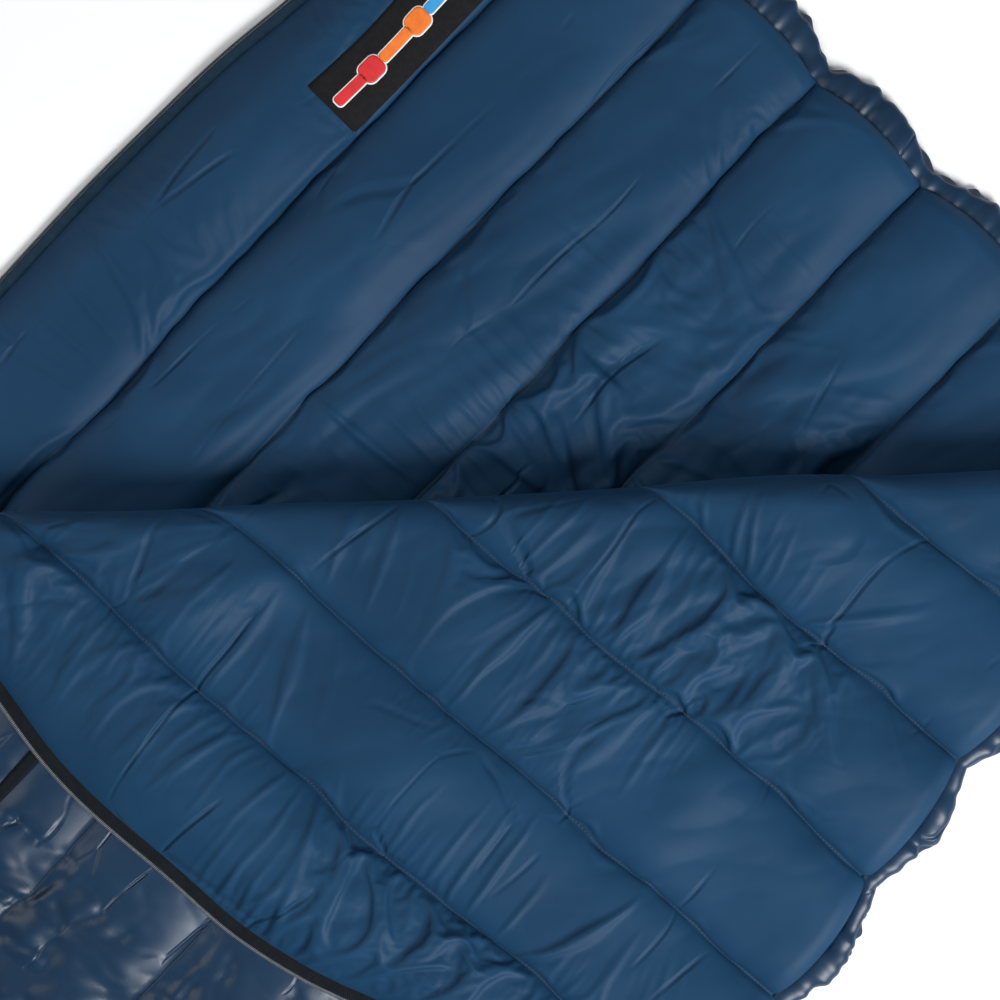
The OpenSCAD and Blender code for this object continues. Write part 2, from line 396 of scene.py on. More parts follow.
def place_front(points):
    points = TOP_WAVES(points)
    points = rolled(points, X_SPINE - points[:, 0], H_LEAF, np.array([-1.0, 0, 0]))
    out = rolled(points, np.clip(-fold_distance(points), 0, None), 0.0, -FOLD_ACROSS)
    out[:, 2] = 2 * H_LEAF - out[:, 2]
    return ridge_waves(out)


def place_flap(points):
    points = TOP_WAVES(points)
    out = rolled(points, np.clip(fold_distance(points), 0, None), 0.0, FOLD_ACROSS)
    past = fold_distance(out)
    out = out - 2 * past[:, None] * FOLD_ACROSS
    out[:, 1] += zip_wander(out[:, 0]) * bump(points[:, 0] - X_ZIP, 0.10)
    lift = np.clip(points[:, 2] / CROWN_Z, 0, 1) * np.sin(np.clip(past / 0.06, 0, 1) * math.pi / 2)
    out[:, 2] += 2 * H_LEAF + soft_folds(out[:, 0], out[:, 1]) * lift
    proud = np.clip(out[:, 2] - SOFT_TOP, 0, None)
    out[:, 2] += SOFT_RISE * np.tanh(proud / SOFT_RISE) - proud
    return ridge_waves(out)


def zip_wander(x):
    """How far the zip edge of the turned-back corner lies nearer the fold than a straight edge would."""
    bends = [(-0.22, 0.09, 0.024), (0.235, 0.075, 0.030), (0.07, 0.05, -0.004)]
    return 0.006 + sum(rise * bump(x - at, reach) for at, reach, rise in bends)


def soft_folds(x, y):
    """Broad folds in the turned-back corner: place, direction of the crest, its length, width and height."""
    folds = [(-0.105, 0.325, 70, 0.085, 0.022, 0.011), (-0.235, 0.215, 60, 0.06, 0.02, 0.007),
             (0.06, 0.60, 60, 0.07, 0.03, 0.005), (0.26, 0.42, 100, 0.10, 0.03, 0.004)]
    height = 0.0
    for fx, fy, degrees, length, width, rise in folds:
        c, s = math.cos(math.radians(degrees)), math.sin(math.radians(degrees))
        along = (x - fx) * c + (y - fy) * s
        across = (y - fy) * c - (x - fx) * s
        height = height + rise * bump(along, length) * bump(across, width)
    return height


# ---- Meshes and pieces

def grid_faces(rows, columns, closed=False):
    index = np.arange(rows * columns).reshape(rows, columns)
    if closed:
        index = np.concatenate([index, index[:, :1]], axis=1)
    return np.stack([index[:-1, :-1], index[:-1, 1:], index[1:, 1:], index[1:, :-1]], -1).reshape(-1, 4)


def piece(name, points, faces, body, material, replaced=(), flip=False, smooth=True):
    """A mesh object in metres that rides on a body."""
    mesh = bpy.data.meshes.new(name)
    corners = faces.tolist() if isinstance(faces, np.ndarray) else faces
    if flip:
        corners = [face[::-1] for face in corners]
    mesh.from_pydata(points.tolist(), [], corners)
    mesh.polygons.foreach_set("use_smooth", [smooth] * len(mesh.polygons))
    mesh.materials.append(material)
    made = bpy.data.objects.new(name, mesh)
    bpy.context.scene.collection.objects.link(made)
    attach(made, body)
    if replaced:
        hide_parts(*replaced)
    return made


def cut_by_fold(points, faces, side):
    """The part of a mesh past the fold (side 1) or before it (side -1), with a clean cut along it."""
    net = bmesh.new()
    mesh = bpy.data.meshes.new("cutting")
    mesh.from_pydata(points.tolist(), [], faces.tolist())
    net.from_mesh(mesh)
    bpy.data.meshes.remove(mesh)
    every = net.verts[:] + net.edges[:] + net.faces[:]
    bmesh.ops.bisect_plane(net, geom=every, plane_co=FOLD_POINT, plane_no=FOLD_ACROSS * -side,
                           clear_outer=True)
    net.verts.index_update()
    kept = np.array([v.co[:] for v in net.verts])
    bmesh.ops.triangulate(net, faces=[f for f in net.faces if len(f.verts) > 4])
    shapes = [[v.index for v in f.verts] for f in net.faces]
    net.free()
    return kept, shapes


def leaf_sheet(name, grid, place, body, material, replaced=(), flip=False):
    """A whole grid of a leaf as a piece, put in its place."""
    points = place(grid.reshape(-1, 3))
    return piece(name, points, grid_faces(*grid.shape[:2]), body, material, replaced, flip)


def cut_piece(name, grid, side, place, body, material, replaced=(), flip=False):
    """The part of a grid on one side of the fold as a piece, put in its place."""
    points, faces = cut_by_fold(grid.reshape(-1, 3), grid_faces(*grid.shape[:2]), side)
    return piece(name, place(points), faces, body, material, replaced, flip)


# ---- Materials

def shader(name, colour, roughness, **settings):
    """A principled material and its node tree."""
    material = bpy.data.materials.new(name)
    material.use_nodes = True
    tree = material.node_tree
    surface = tree.nodes["Principled BSDF"]
    surface.inputs["Base Color"].default_value = (*colour, 1)
    surface.inputs["Roughness"].default_value = roughness
    for socket, value in settings.items():
        surface.inputs[socket.replace("_", " ")].default_value = value
    return material, tree, surface


def add(tree, kind, inputs=None, **attributes):
    """A new node with its attributes set, and its inputs linked or set."""
    node = tree.nodes.new(kind)
    for key, value in attributes.items():
        setattr(node, key, value)
    for key, value in (inputs or {}).items():
        if isinstance(value, bpy.types.NodeSocket):
            tree.links.new(value, node.inputs[key])
        else:
            node.inputs[key].default_value = value
    return node


def varied_colour(tree, surface, low, high, scale):
    """Colour that drifts between two tones over the cloth."""
    place = add(tree, "ShaderNodeTexCoord").outputs["Object"]
    cloud = add(tree, "ShaderNodeTexNoise", {"Vector": place, "Scale": scale, "Detail": 6.0,
                                             "Roughness": 0.6})
    ramp = add(tree, "ShaderNodeValToRGB", {"Fac": cloud.outputs["Fac"]})
    ramp.color_ramp.elements[0].position = 0.35
    ramp.color_ramp.elements[0].color = (*low, 1)
    ramp.color_ramp.elements[1].position = 0.65
    ramp.color_ramp.elements[1].color = (*high, 1)
    tree.links.new(ramp.outputs["Color"], surface.inputs["Base Color"])
    return place


def crease_lines(tree, place, scale):
    """Thin straight grooves, the borders of stretched random cells, kept to patches of cloth."""
    stretch, width, patch_level, patch_ramp = 3.6, 0.035, 0.50, 0.15
    warp = add(tree, "ShaderNodeTexNoise", {"Vector": place, "Scale": scale * 0.5, "Detail": 1.0})
    bent = add(tree, "ShaderNodeVectorMath", {0: warp.outputs["Color"], "Scale": 0.35 / scale},
               operation="SCALE")
    moved = add(tree, "ShaderNodeVectorMath", {0: place, 1: bent.outputs[0]}, operation="ADD")
    turned = add(tree, "ShaderNodeMapping", {"Vector": moved.outputs[0], "Rotation": (0.0, 0.0, 0.5),
                                             "Scale": (1.0, 1.0 / stretch, 1.0)})
    cells = add(tree, "ShaderNodeTexVoronoi", {"Vector": turned.outputs["Vector"], "Scale": scale},
                feature="DISTANCE_TO_EDGE")
    groove = add(tree, "ShaderNodeMapRange",
                 {"Value": cells.outputs["Distance"], "From Min": 0.0, "From Max": width,
                  "To Min": -1.0, "To Max": 0.0}, interpolation_type="SMOOTHSTEP")
    cloud = add(tree, "ShaderNodeTexNoise", {"Vector": place, "Scale": scale * 0.8, "Detail": 2.0})
    patch = add(tree, "ShaderNodeMapRange",
                {"Value": cloud.outputs["Fac"], "From Min": patch_level,
                 "From Max": patch_level + patch_ramp, "To Min": 0.0, "To Max": 1.0})
    kept = add(tree, "ShaderNodeMath", {0: groove.outputs["Result"], 1: patch.outputs["Result"]},
               operation="MULTIPLY")
    return kept.outputs[0]


def woven_bump(tree, surface, place, threads, weave, groove, groove_scale):
    """Plain weave and, under it, the fine creases of thin calendered cloth."""
    bands = [add(tree, "ShaderNodeTexWave",
                 {"Vector": place, "Scale": threads, "Distortion": 0.4, "Detail": 1.0},
                 bands_direction=direction) for direction in "XY"]
    cross = add(tree, "ShaderNodeMath", {0: bands[0].outputs["Fac"], 1: bands[1].outputs["Fac"]},
                operation="MULTIPLY")
    lines = crease_lines(tree, place, groove_scale)
    under = add(tree, "ShaderNodeBump", {"Height": lines, "Strength": groove, "Distance": 0.0022})
    over = add(tree, "ShaderNodeBump", {"Height": cross.outputs[0], "Strength": weave, "Distance": 0.0002,
                                        "Normal": under.outputs["Normal"]})
    tree.links.new(over.outputs["Normal"], surface.inputs["Normal"])


def raised(tree, surface, texture, strength, distance):
    """Relief from a texture alone."""
    lift = add(tree, "ShaderNodeBump", {"Height": texture.outputs["Fac"], "Strength": strength,
                                        "Distance": distance})
    tree.links.new(lift.outputs["Normal"], surface.inputs["Normal"])


def lining_material():
    material, tree, surface = shader("lining_taffeta", (0.02, 0.06, 0.12), 0.52, Sheen_Weight=0.08,
                                     Specular_IOR_Level=0.12, Sheen_Roughness=0.35)
    surface.inputs["Sheen Tint"].default_value = (0.35, 0.55, 0.9, 1)
    place = varied_colour(tree, surface, (0.0080, 0.038, 0.088), (0.0110, 0.048, 0.108), 7.0)
    woven_bump(tree, surface, place, 900.0, 0.10, 0.9, 12.0)
    return material


def shell_material():
    material, tree, surface = shader("shell_calendered", (0.012, 0.034, 0.075), 0.36, Specular_IOR_Level=0.36,
                                     Sheen_Weight=0.04, Sheen_Roughness=0.3)
    surface.inputs["Sheen Tint"].default_value = (0.4, 0.55, 0.9, 1)
    place = varied_colour(tree, surface, (0.0045, 0.023, 0.055), (0.0065, 0.030, 0.070), 9.0)
    woven_bump(tree, surface, place, 900.0, 0.08, 0.8, 20.0)
    return material


def batting_material():
    material, tree, surface = shader("batting_fibre", (0.8, 0.8, 0.78), 0.95, Sheen_Weight=0.3)
    place = varied_colour(tree, surface, (0.74, 0.74, 0.72), (0.86, 0.86, 0.84), 60.0)
    fibre = add(tree, "ShaderNodeTexNoise", {"Vector": place, "Scale": 300.0, "Detail": 8.0,
                                             "Distortion": 2.0})
    raised(tree, surface, fibre, 0.6, 0.001)
    return material


def tape_material(name, low, high):
    material, tree, surface = shader(name, low, 0.8, Sheen_Weight=0.04, Specular_IOR_Level=0.15)
    place = varied_colour(tree, surface, low, high, 200.0)
    ribs = add(tree, "ShaderNodeTexWave",
               {"Vector": place, "Scale": 320.0, "Distortion": 0.6, "Detail": 2.0},
               bands_direction="DIAGONAL")
    raised(tree, surface, ribs, 0.5, 0.0003)
    return material


def solid_material(name, colour, roughness, metallic=0.0):
    """Moulded plastic, cast metal, seam stitching darkened to paint the seam shade, or print, with its own
    fine grain and wear.
    """
    material, tree, surface = shader(name, colour, roughness, Metallic=metallic)
    low = tuple(c * 0.86 for c in colour)
    high = tuple(min(1.0, c * 1.1) for c in colour)
    place = varied_colour(tree, surface, low, high, 150.0)
    specks = add(tree, "ShaderNodeTexNoise", {"Vector": place, "Scale": 400.0, "Detail": 5.0})
    raised(tree, surface, specks, 0.15, 0.0003)
    return material


LINING = lining_material()
SHELL = shell_material()
BATTING = batting_material()
# Black zip tape; the same near-black material also paints the seam shade on the front leaf's outside
TAPE_AND_SEAM_SHADE = tape_material("zip_tape", (0.0025, 0.0045, 0.007), (0.005, 0.008, 0.012))
NAVY_TAPE = tape_material("zip_tape_navy", (0.008, 0.026, 0.048), (0.013, 0.036, 0.064))
# Grey that paints the whitish highlights of a dark coil, for the front leaf and the turned-back corner
COIL_PAINTED_HIGHLIGHT = solid_material("coil_nylon", (0.15, 0.17, 0.19), 0.3)
DARK_COIL = solid_material("coil_nylon_dark", (0.009, 0.022, 0.036), 0.5)
# Darker than the lining: the stitching's colour with painted shade of the seam creases
THREAD_AND_SEAM_SHADE = solid_material("thread_and_seam_shade", (0.008, 0.020, 0.045), 0.6)
METAL = solid_material("zinc_lacquered", (0.10, 0.11, 0.12), 0.32, metallic=0.9)
PLASTIC = solid_material("zip_moulding", (0.015, 0.016, 0.018), 0.4)
LABEL_CLOTH = tape_material("label_satin", (0.0065, 0.0065, 0.0075), (0.010, 0.010, 0.011))
LABEL_WHITE = solid_material("print_white", (0.82, 0.82, 0.80), 0.5)
LABEL_RED = solid_material("print_red", (0.62, 0.012, 0.016), 0.5)
LABEL_ORANGE = solid_material("print_orange", (0.80, 0.17, 0.012), 0.5)
LABEL_BLUE = solid_material("print_blue", (0.03, 0.30, 0.62), 0.5)


# ---- Lining and shell of the leaves: back and under are the back leaf's, top and shell the front leaf's

# Where along the leaf each sheet's foot part meets its mouth part
BACK_SPLIT, TOP_SPLIT, SHELL_SPLIT, UNDER_SPLIT = 0.12, 0.08, -0.07, 0.0

# Crumpled patches: x, y, reach and extra slack
BACK_CRUMPLES = [(-0.005, 0.62, 0.14, 3.6), (0.13, 0.70, 0.10, 2.4), (-0.16, 0.42, 0.10, 1.6)]
TOP_CRUMPLES = [(-0.01, 0.716, 0.10, 2.6), (-0.366, 0.60, 0.06, 3.0), (-0.30, 0.25, 0.10, 1.0)]
SHELL_CRUMPLES = [(-0.25, 0.05, 0.18, 1.0)]

# Packing creases: seed, direction in degrees, stretch, and each layer's cell and height
BACK_CREASES = crinkle(800, 78, 3.0, [(0.020, 0.0020), (0.012, 0.0013)])
TOP_CREASES = crinkle(820, 35, 2.2, [(0.022, 0.0018), (0.012, 0.0011)])
SHELL_CREASES = crinkle(840, 20, 1.6, [(0.034, 0.0024), (0.015, 0.0026), (0.008, 0.0015)])


def under_label(x, y):
    """True where the sewn label holds the lining of the back leaf flat."""
    (x0, y0, _), (x1, y1, _) = LABEL_BOX
    return (x > x0) & (x < x1) & (y > y0) & (y < y1)


def pressed_shell(x, y):
    """The most that the shell stands proud: least under the turned-back corner and over the strip of painted
    seam shade.
    """
    most = np.interp(y, (0.06, 0.10, 0.12, 0.16), (0.0095, 0.0044, 0.0042, 0.0012))
    return most * (1 - 0.85 * bump(x - SEAM_SHADE_X, 0.012))


back_foot, back_head = quilted(11, back_base, 1, (0.007, 0.010), BACK_CRUMPLES, BACK_CREASES, calm=0.13,
                               fine=44, split=BACK_SPLIT, held=under_label)
top_foot, top_head = quilted(37, lining_base, 1, (0.010, 0.014), TOP_CRUMPLES, TOP_CREASES, calm=0.24,
                             fine=54, split=TOP_SPLIT)
shell_foot, shell_head = quilted(53, shell_base, -1, (0.020, 0.024), SHELL_CRUMPLES, SHELL_CREASES,
                                 calm=1.0, fine=40, split=SHELL_SPLIT, pressed=pressed_shell)
under_foot, under_head = quilted(71, shell_base, -1, (0.010, 0.012), [], SHELL_CREASES, calm=0.0,
                                 fine=24, split=UNDER_SPLIT)
for part in (under_foot, under_head):
    part[..., 2] = np.maximum(part[..., 2], 0.0004)


leaf_sheet("back_lining_foot", back_foot, place_back, "back", LINING, flip=True)
leaf_sheet("back_lining_head", back_head, place_back, "back", LINING, ["back_lining"], flip=True)
leaf_sheet("back_shell_foot", under_foot, place_back, "back", SHELL)
leaf_sheet("back_shell_head", under_head, place_back, "back", SHELL, ["back_shell"])
leaf_sheet("front_lining_foot", top_foot, place_front, "front", LINING)
leaf_sheet("front_shell_foot", shell_foot, place_front, "front", SHELL, flip=True)
for side, place, body, part in ((-1, place_front, "front", "head"), (1, place_flap, "flap", "sheet")):
    cut_piece(f"{body}_lining_{part}", top_head, side, place, body, LINING, [f"{body}_lining"])
    cut_piece(f"{body}_shell_{part}", shell_head, side, place, body, SHELL, [f"{body}_shell"],
              flip=True)


def fold_y(x):
    """Where the fold line crosses the leaf at x."""
    return FOLD_POINT[1] - (X_SPINE - x) * FOLD_ALONG[1] / FOLD_ALONG[0]


PAD_INSET = 0.009
PAD_SKIN = 0.0045
PAD_SHELL_GAP = 0.001
PAD_LEAST_LENGTH = 0.02
PAD_COLUMNS, PAD_ROWS = 25, 121


def batting_pad(body, k, place, base, low, high):
    """The batting of channel k between two ends, given as functions of x: a closed pad inside the cloth."""
    x0 = X_ZIP + (k - 1) * CHANNEL_W + PAD_INSET
    x = np.linspace(x0, x0 + CHANNEL_W - 2 * PAD_INSET, PAD_COLUMNS)
    room = high(x) - low(x) > PAD_LEAST_LENGTH
    x = np.linspace(x[room][0], x[room][-1], PAD_COLUMNS)
    share = np.linspace(0, 1, PAD_ROWS)[:, None]
    y = low(x) + share * (high(x) - low(x))
    x = np.broadcast_to(x, y.shape)
    ends = quarter(np.minimum(share, 1 - share) * (high(x) - low(x)), 0.02)
    top, under = base(x, y) - PAD_SKIN, shell_base(x, y) + PAD_SHELL_GAP
    middle = (top + under) / 2
    half = np.maximum((top - under) / 2 * (0.2 + 0.8 * ends), 0.0003)
    over = np.stack([x, y, middle + half], -1)
    beneath = np.stack([x, y, middle - half], -1)[:, ::-1]
    ring = np.concatenate([over, beneath], axis=1)
    rows, columns = ring.shape[:2]
    faces = grid_faces(rows, columns, closed=True).tolist()
    half_ring = columns // 2
    for row in (0, (rows - 1) * columns):
        for i in range(half_ring - 1):
            cap = [row + i, row + i + 1, row + columns - 2 - i, row + columns - 1 - i]
            faces.append(cap if row else cap[::-1])
    pad = piece(f"{body}_batting_{k}", place(ring.reshape(-1, 3)), faces, body, BATTING,
                [f"{body}_fill_{k}"])


def foot_end(x):
    return np.full_like(x, Y_FOOT + 0.006)


def mouth_end(x):
    return np.full_like(x, Y_LINING - 0.005)


def before_fold(x):
    return np.minimum(fold_y(x) - 0.003, mouth_end(x))


def past_fold(x):
    return fold_y(x) + 0.003


for channel in range(1, CHANNELS + 1):
    batting_pad("back", channel, place_back, back_base, foot_end, mouth_end)
    batting_pad("front", channel, place_front, lining_base, foot_end, before_fold)
    batting_pad("flap", channel, place_flap, lining_base, past_fold, mouth_end)


# ---- Seam stitching, dark and enlarged to paint the shade of the seam creases

STITCH_PITCH = 0.0032
# Dashes made thick, so that they also paint the shade of the seam creases
STITCH_SIZE = np.array([0.0005, 0.0013, 0.0004])


def stitches_and_seam_shade(name, grids, outward, place, body, side=0):
    """Rows of dark dashes on the seams of a sheet, stitching that also paints the shade of the seam creases;
    side keeps those before (-1) or past (1) the fold.
    """
    corner = np.array([(a, b, c) for a in (-1, 1) for b in (-1, 1) for c in (-1, 1)]) * STITCH_SIZE
    sides = np.array([(0, 1, 3, 2), (4, 6, 7, 5), (0, 4, 5, 1), (2, 3, 7, 6), (0, 2, 6, 4), (1, 5, 7, 3)])
    centres = []
    for seam in range(1, CHANNELS):
        line = np.concatenate([grid[:, seam * (grid.shape[1] - 1) // CHANNELS] for grid in grids])
        line = line[np.argsort(line[:, 1])]
        y = np.arange(Y_FOOT + 0.01, Y_LINING - 0.006, STITCH_PITCH)
        x, z = (np.interp(y, line[:, 1], line[:, axis]) for axis in (0, 2))
        centres.append(np.stack([x, y, z], -1))
    centres = np.concatenate(centres) + np.array([0, 0, 0.0003 * outward])
    if side:
        centres = centres[fold_distance(centres) * side > 0.002]
    points = (centres[:, None, :] + corner).reshape(-1, 3)
    faces = (np.arange(len(centres))[:, None, None] * 8 + sides).reshape(-1, 4)
    return piece(name, place(points), faces, body, THREAD_AND_SEAM_SHADE, smooth=False)


stitches_and_seam_shade("back_lining_stitches", (back_foot, back_head), 1, place_back, "back")
stitches_and_seam_shade("front_shell_stitches", (shell_foot, shell_head), -1, place_front, "front", -1)
stitches_and_seam_shade("flap_lining_stitches", (top_foot, top_head), 1, place_flap, "flap", 1)
stitches_and_seam_shade("flap_shell_stitches", (shell_foot, shell_head), -1, place_flap, "flap", 1)
stitches_and_seam_shade("front_lining_stitches", (top_foot, top_head), 1, place_front, "front", -1)


# ---- Rolled hem along the mouth

def hem(name, body, place, seed, replaced):
    """Shell cloth rolled over the mouth edge, gathered and scalloped from channel to channel."""
    ruche, fine, swell = noise(seed, 0.018), noise(seed + 1, 0.006), noise(seed + 2, 0.08)
    columns, ring = 640, 28
    x = np.linspace(X_ZIP, X_SPINE, columns)[:, None]
    turn = np.linspace(0, 2 * math.pi, ring, endpoint=False)[None, :]
    share = np.abs(np.sin(math.pi * (x - X_ZIP) / CHANNEL_W))
    puff = 0.75 + 0.35 * share + 0.16 * swell(x, x * 0) + 0.9 * share * bump(x - 0.27, 0.05)
    half_w = (Y_MOUTH - Y_LINING) / 2 * puff
    half_h = HEM_H / 2 * (0.86 + 0.22 * share)
    grow = 1 + 0.12 * ruche(x, turn * 0.012) + 0.13 * fine(x, turn * 0.003)
    taper = quarter(np.minimum(x - X_ZIP, X_SPINE - x), 0.012)
    y = Y_LINING - 0.006 + half_w + half_w * np.cos(turn) * grow * taper
    z = HEM_H / 2 + half_h * np.sin(turn) * grow * taper
    points = np.stack([x + 0 * turn, y, np.maximum(z, 0.0003)], -1).reshape(-1, 3)
    faces = grid_faces(columns, ring, closed=True)
    return piece(name, place(points), faces, body, SHELL, replaced, flip=(body == "flap"))


hem("back_hem_roll", "back", place_back, 600, ["back_mouth_hem"])
hem("flap_hem_roll", "flap", place_flap, 620, ["flap_mouth_hem"])


# ---- Zip: tape and coil along a side or the foot of a leaf

def along_side(y):
    """A line of points beside the zip edge, and the direction out of the leaf."""
    line = np.stack([np.full_like(y, X_ZIP), y, np.zeros_like(y)], -1)
    return line, np.array([-1.0, 0.0, 0.0])


def along_foot(x):
    """A line of points beside the foot edge, and the direction out of the leaf."""
    line = np.stack([x, np.full_like(x, Y_FOOT), np.zeros_like(x)], -1)
    return line, np.array([0.0, -1.0, 0.0])


ZIP_Z = (COIL_BOX[0][2] + COIL_BOX[1][2]) / 2
TAPE_W = X_ZIP - TAPE_BOX[0][0]
COIL_W = COIL_BOX[1][0] - COIL_BOX[0][0]
COIL_T = COIL_BOX[1][2] - COIL_BOX[0][2]
COIL_PITCH = 0.00127
COIL_WIRE = 0.00036


def tape(name, line, outward, place, body, material, replaced):
    """Zip tape: a thin band with a rounded section, tucked a little way under the edge of the leaf."""
    section = [(-0.004, 0.0003), (0.003, 0.0003), (0.007, 0.00032), (TAPE_W, 0.0003), (TAPE_W + 0.0004, 0.0),
               (TAPE_W, -0.0003), (0.003, -0.0003), (-0.004, -0.0003)]
    rings = [line + outward * a + np.array([0, 0, ZIP_Z + b]) for a, b in section]
    grid = np.stack(rings, 1)
    ruffle = noise(910, 0.009)(grid[..., 0] + grid[..., 1], grid[..., 0] * 0)
    grid[..., 2] += 0.00035 * ruffle
    points = place(grid.reshape(-1, 3))
    return piece(name, points, grid_faces(*grid.shape[:2], closed=True), body, material, replaced)


def coil(name, start, end, outward, place, body, material, replaced):
    """A nylon coil: one wire wound flat along the edge of the tape."""
    span = np.linalg.norm(end - start)
    turns = int(span / COIL_PITCH)
    steps, ring = 8, 4
    turn = np.arange(turns * steps + 1) / steps
    phase = 2 * math.pi * turn
    ahead = (end - start) / span
    centre = start + ahead * (turn * COIL_PITCH)[:, None]
    radius_w, radius_t = COIL_W / 2 - COIL_WIRE, COIL_T / 2 - COIL_WIRE
    path = centre + outward * (TAPE_W + COIL_W / 2 + radius_w * np.cos(phase))[:, None]
    path[:, 2] += ZIP_Z + radius_t * np.sin(phase)
    across = outward * np.cos(phase)[:, None] + np.array([0, 0, 1.0]) * np.sin(phase)[:, None]
    around = np.linspace(0, 2 * math.pi, ring, endpoint=False)
    offset = across[:, None, :] * np.cos(around)[None, :, None] + ahead * np.sin(around)[None, :, None]
    points = path[:, None, :] + COIL_WIRE * offset
    points = place(points.reshape(-1, 3))
    return piece(name, points, grid_faces(len(path), ring, closed=True), body, material, replaced)


Y_COIL_TOP = COIL_BOX[1][1]
Y_TAPE_TOP = TAPE_BOX[1][1]
Y_FOLD = fold_y(X_ZIP)
FOOT_END = FOOT_TAPE_BOX[1][0]
FOOT_COIL_END = FOOT_COIL_BOX[1][0]
LINE_STEP = 0.003


def side_line(low, high):
    return along_side(np.linspace(low, high, int((high - low) / LINE_STEP)))


def foot_line(low, high):
    return along_foot(np.linspace(low, high, int((high - low) / LINE_STEP)))


def zip_parts(body, place, low, high, coil_top, names, cloth, material):
    """Tape and coil down the side of one leaf."""
    line, out = side_line(low, high)
    tape(f"{body}_side_tape", line, out, place, body, cloth, [names[0]])
    start, end = np.array([X_ZIP, low, 0.0]), np.array([X_ZIP, coil_top, 0.0])
    coil(f"{body}_side_coil", start, end, out, place, body, material, [names[1]])


def painted_seam_shade():
    """A dark strip along the outside of the front leaf: painted shade of a crease at a shell seam."""
    y = np.linspace(Y_FOOT + 0.004, fold_y(SEAM_SHADE_X) - 0.004, 500)
    offsets = np.linspace(-SEAM_SHADE_W / 2, SEAM_SHADE_W / 2, 5)
    rings = []
    for lift, across in ((0.0, offsets), (0.0006, offsets[::-1])):
        for offset in across:
            x = np.full_like(y, SEAM_SHADE_X + offset)
            rings.append(np.stack([x, y, shell_base(x, y) - 0.0022 - lift], -1))
    grid = np.stack(rings, 1)
    piece("front_seam_strip", place_front(grid.reshape(-1, 3)), grid_faces(*grid.shape[:2], closed=True),
          "front", TAPE_AND_SEAM_SHADE)


painted_seam_shade()


def foot_zip_parts(body, place, names, cloth, material):
    """Tape and coil along the foot of one leaf."""
    line, out = foot_line(X_ZIP - TAPE_W, FOOT_END)
    tape(f"{body}_foot_tape", line, out, place, body, cloth, [names[0]])
    start, end = np.array([X_ZIP - TAPE_W, Y_FOOT, 0.0]), np.array([FOOT_COIL_END, Y_FOOT, 0.0])
    coil(f"{body}_foot_coil", start, end, out, place, body, material, [names[1]])


zip_parts("back", place_back, Y_FOOT, Y_TAPE_TOP, Y_COIL_TOP,
          ["back_zip_tape_side", "back_zip_coil_side"], NAVY_TAPE, DARK_COIL)
zip_parts("front", place_front, Y_FOOT, Y_FOLD, Y_FOLD,
          ["front_zip_tape_side", "front_zip_coil_side"], TAPE_AND_SEAM_SHADE, COIL_PAINTED_HIGHLIGHT)
zip_parts("flap", place_flap, Y_FOLD, Y_TAPE_TOP, Y_COIL_TOP, ["flap_zip_tape", "flap_zip_coil"], TAPE_AND_SEAM_SHADE, COIL_PAINTED_HIGHLIGHT)
foot_zip_parts("back", place_back, ["back_zip_tape_foot", "back_zip_coil_foot"], NAVY_TAPE, DARK_COIL)
foot_zip_parts("front", place_front, ["front_zip_tape_foot", "front_zip_coil_foot"], TAPE_AND_SEAM_SHADE, COIL_PAINTED_HIGHLIGHT)


# ---- Sewn label, on the lining of the back leaf

def on_label(x, y, above):
    """Points above the label's cloth, which follows the crown of the first channel."""
    z = back_base(x, y) + above
    return np.stack([x, y, z], -1)


def rounded_patch(name, centre, size, radius, above, material, thick=0.0005):
    """A flat printed or woven shape with round corners, bent over the crown."""
    outline = []
    # The first corner comes again at the end, to close the outline before its points are spaced evenly.
    for turn, (sx, sy) in enumerate(((1, 1), (-1, 1), (-1, -1), (1, -1), (1, 1))):
        cx, cy = centre[0] + sx * (size[0] / 2 - radius), centre[1] + sy * (size[1] / 2 - radius)
        for angle in np.linspace(0, math.pi / 2, 7) + turn * math.pi / 2:
            outline.append((cx + radius * math.cos(angle), cy + radius * math.sin(angle)))
    corners = np.array(outline[:-6])
    travelled = np.concatenate([[0], np.cumsum(np.linalg.norm(np.diff(corners, axis=0), axis=1))])
    even = np.linspace(0, travelled[-1], 120, endpoint=False)
    outline = np.stack([np.interp(even, travelled, corners[:, axis]) for axis in (0, 1)], -1)
    shares = np.linspace(1.0, 0.0, 9)[:, None, None]
    rings = np.array(centre) + (outline[None] - np.array(centre)) * shares
    grid = on_label(rings[..., 0], rings[..., 1], above)
    rim = on_label(outline[:, 0], outline[:, 1], above - thick)[None]
    grid = np.concatenate([rim, grid])
    points = place_back(grid.reshape(-1, 3))
    return piece(name, points, grid_faces(*grid.shape[:2], closed=True), "back", material)


BLOCK_L = 0.0205


def label():
    """The sewn label's black cloth and its three coloured bars, each with a block at its end."""
    (x0, y0, _), (x1, y1, _) = LABEL_BOX
    centre = ((x0 + x1) / 2, (y0 + y1) / 2)
    patch = rounded_patch("label_cloth", centre, (x1 - x0, y1 - y0), 0.0008, 0.0009, LABEL_CLOTH)
    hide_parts("temperature_label")
    at = y0 + 0.0065
    bars = (("red", 0.029, LABEL_RED), ("orange", 0.032, LABEL_ORANGE), ("blue", 0.032, LABEL_BLUE))
    for name, bar, material in bars:
        label_mark(f"{name}_bar", at, bar + 0.002, 0.0095, material)
        label_mark(f"{name}_block", at + bar, BLOCK_L, 0.019, material)
        at += bar + BLOCK_L


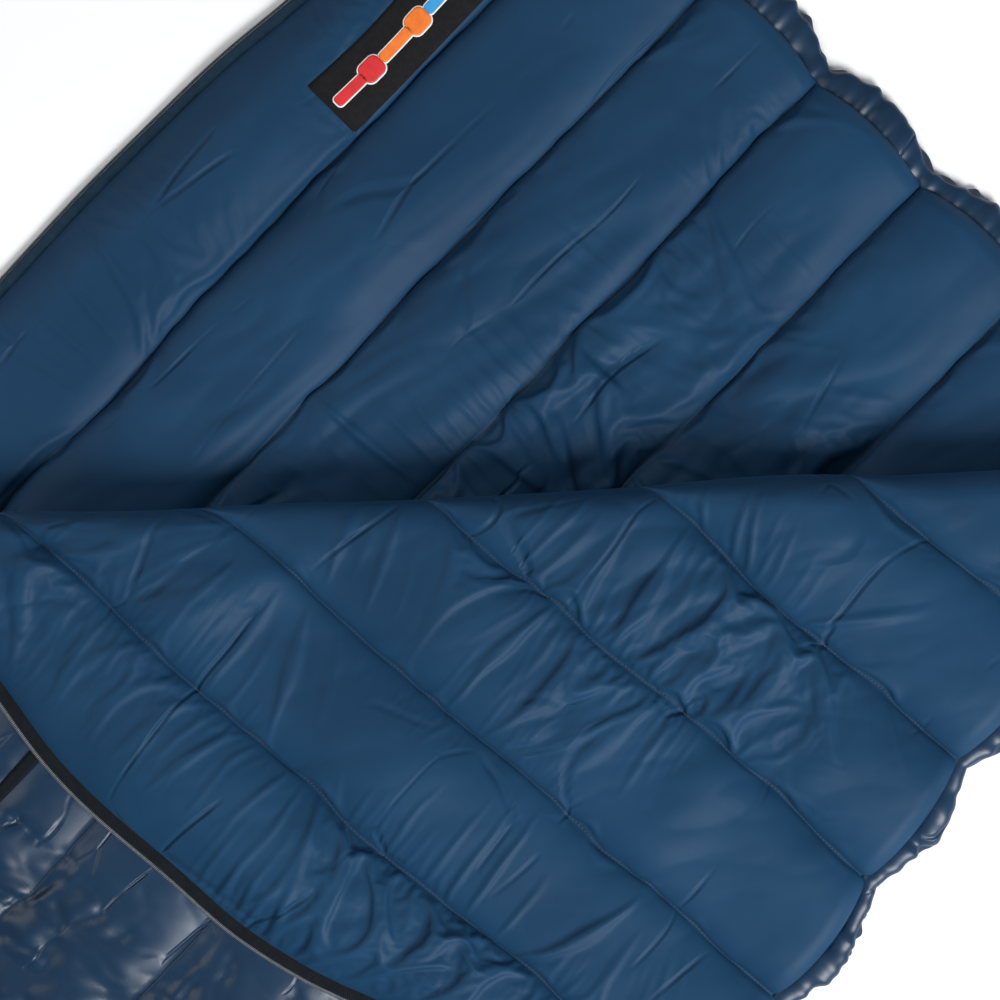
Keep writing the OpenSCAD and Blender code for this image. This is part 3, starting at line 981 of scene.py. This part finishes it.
def label_mark(name, low, length, width, material):
    """One link of the temperature scale: a coloured shape on a slightly larger white one."""
    (x0, _, _), (x1, _, _) = LABEL_BOX
    middle = ((x0 + x1) / 2, low + length / 2)
    corner = min(width, length) * 0.32
    rim = 0.0011
    rounded_patch(f"label_{name}_rim", middle, (width + 2 * rim, length + 2 * rim), corner + rim, 0.00115,
                  LABEL_WHITE, 0.0003)
    rounded_patch(f"label_{name}", middle, (width, length), corner, 0.00135, material, 0.0003)


label()


# ---- Metal and moulded parts, which keep their CAD shapes

KEPT_NODES = ((METAL, ("slider_body", "pull_tab", "back_top_stop", "flap_top_stop")),
              (PLASTIC, ("retainer_box", "insertion_pin")))
for material, nodes in KEPT_NODES:
    for node in nodes:
        frame["nodes"][node].data.materials.clear()
        frame["nodes"][node].data.materials.append(material)


# ---- Floor, light and camera

# Directions of the picture in plan, where the light aims, and what the camera takes in
UP = np.array([-0.695, 0.719, 0.0])
RIGHT = np.array([0.719, 0.695, 0.0])
LIT_POINT = np.array([0.0, 0.5, 0.0])
PICTURE_CENTRE = np.array([-0.007, 0.509, 0.03])
PICTURE_WIDTH = 0.79
FLOOR_REACH = 20.0
FLOOR_Z = -0.0005


def floor():
    """A plain pale floor."""
    plan = ((-1, -1), (1, -1), (1, 1), (-1, 1))
    corners = [(FLOOR_REACH * x, FLOOR_REACH * y, FLOOR_Z) for x, y in plan]
    mesh = bpy.data.meshes.new("floor")
    mesh.from_pydata(corners, [], [(0, 1, 2, 3)])
    made = bpy.data.objects.new("floor", mesh)
    bpy.context.scene.collection.objects.link(made)
    material, _, _ = shader("floor_paper", (0.97, 0.97, 0.97), 0.9)
    mesh.materials.append(material)


def area_light(name, right, up, height, size, power):
    """A soft box placed by how far right and up it stands in the picture."""
    data = bpy.data.lights.new(name, "AREA")
    data.shape = "DISK"
    data.size = size
    data.energy = power
    lamp = bpy.data.objects.new(name, data)
    bpy.context.scene.collection.objects.link(lamp)
    spot = LIT_POINT + RIGHT * right + UP * up + np.array([0, 0, height])
    lamp.location = spot
    lamp.rotation_euler = Vector(LIT_POINT - spot).to_track_quat("-Z", "Y").to_euler()


def camera():
    """A long lens straight above the bag."""
    data = bpy.data.cameras.new("camera")
    data.lens = 120
    data.clip_end = 50
    made = bpy.data.objects.new("camera", data)
    bpy.context.scene.collection.objects.link(made)
    distance = PICTURE_WIDTH * data.lens / data.sensor_width
    spot = PICTURE_CENTRE + np.array([0, 0, distance])
    turn = Matrix((RIGHT, UP, (0, 0, 1))).transposed().to_4x4()
    made.matrix_world = Matrix.Translation(spot) @ turn
    bpy.context.scene.camera = made


floor()
area_light("key", 1.6, -2.0, 2.3, 1.8, 150)
area_light("fill", -2.4, 1.6, 2.6, 2.6, 38)
world = bpy.data.worlds.new("world")
world.use_nodes = True
world.node_tree.nodes["Background"].inputs["Color"].default_value = (0.92, 0.95, 1.0, 1)
world.node_tree.nodes["Background"].inputs["Strength"].default_value = 0.26
bpy.context.scene.world = world
camera()
bpy.context.scene.view_settings.view_transform = "Standard"
